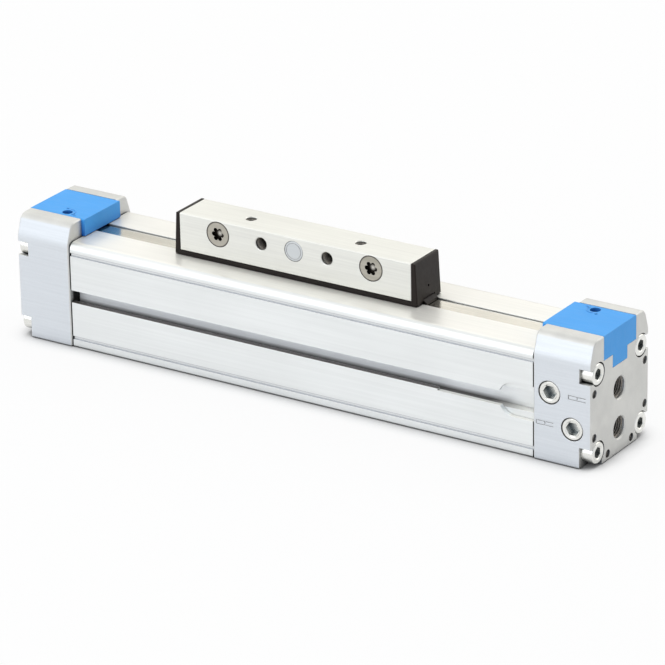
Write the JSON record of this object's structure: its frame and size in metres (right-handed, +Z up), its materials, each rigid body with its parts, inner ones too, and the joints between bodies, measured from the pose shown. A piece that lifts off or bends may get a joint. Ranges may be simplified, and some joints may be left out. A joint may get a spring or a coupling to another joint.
{
  "type": "rodless pneumatic cylinder",
  "caption": "Rodless air cylinder: slotted aluminium barrel with blue-capped ends and a carriage that slides along a steel cover band.",
  "frame": {"origin": "middle of the base, halfway between the end faces, on the surface it stands on", "axes": "+X along the barrel and the carriage's travel, -Y is the front with the milled side slot, +Z up"},
  "size_m": [0.26, 0.043, 0.0613],
  "materials": {
    "anodised_aluminium": "satin clear anodised extrusion",
    "cast_aluminium": "blasted and clear anodised",
    "machined_aluminium": "milled, clear anodised",
    "blue_plastic": "moulded, fine satin grain",
    "black_plastic": "moulded, satin",
    "black_rubber": "matt rubber",
    "stainless_band": "rolled stainless strip",
    "sealing_band": "polyurethane strip",
    "zinc_steel": "bright zinc plated",
    "screw_steel": "plain steel",
    "piston_plastic": "acetal",
    "magnet_black": "bonded ferrite",
    "brass": "turned brass"
  },
  "bodies": {
    "barrel": {"barrel": "anodised_aluminium", "outer_band": "stainless_band", "inner_band": "sealing_band", "end_cap_left": "cast_aluminium", "end_cap_right": "cast_aluminium", "cap_gasket_left": "black_rubber", "cap_gasket_right": "black_rubber", "strip_cover_left": "blue_plastic", "strip_cover_right": "blue_plastic", "cap_screws_left": "zinc_steel", "cap_screws_right": "zinc_steel", "port_plugs_left": "zinc_steel", "port_plugs_right": "zinc_steel", "band_clamp_left": "zinc_steel", "band_clamp_right": "zinc_steel", "clamp_screws_left": "zinc_steel", "clamp_screws_right": "zinc_steel", "cushion_boss_left": "machined_aluminium", "cushion_boss_right": "machined_aluminium", "boss_seal_left": "black_rubber", "boss_seal_right": "black_rubber"},
    "carriage": {"end_piece_left": "black_plastic", "end_piece_right": "black_plastic", "band_wiper_left": "black_plastic", "band_wiper_right": "black_plastic", "band_guide_left": "black_plastic", "band_guide_right": "black_plastic", "piston_left": "piston_plastic", "piston_right": "piston_plastic", "guide_ring_left": "piston_plastic", "guide_ring_right": "piston_plastic", "magnet_left": "magnet_black", "magnet_right": "magnet_black", "piston_seal_left": "black_rubber", "piston_seal_right": "black_rubber", "cushion_seal_left": "black_rubber", "cushion_seal_right": "black_rubber", "driver_block": "machined_aluminium", "yoke": "machined_aluminium", "locating_plug": "machined_aluminium", "cross_screws": "screw_steel", "side_strip_front": "black_plastic", "side_strip_back": "black_plastic"},
    "cushion_screw_left": {"cushion_screw_left": "brass"},
    "cushion_screw_right": {"cushion_screw_right": "brass"}
  },
  "joints": [
    {"name": "carriage_slide", "type": "slide", "parent": "barrel", "child": "carriage", "axis": [1, 0, 0], "range_m": [-0.022, 0.038], "deforming": ["outer_band", "inner_band"]},
    {"name": "cushion_screw_right_turn", "type": "hinge", "parent": "barrel", "child": "cushion_screw_right", "pos_m": [0.1145, 0.0086, 0.036], "axis": [0, 0, 1], "range_deg": [-360, 720]},
    {"name": "cushion_screw_left_turn", "type": "hinge", "parent": "barrel", "child": "cushion_screw_left", "pos_m": [-0.1145, -0.0086, 0.036], "axis": [0, 0, 1], "range_deg": [-360, 720]}
  ]
}
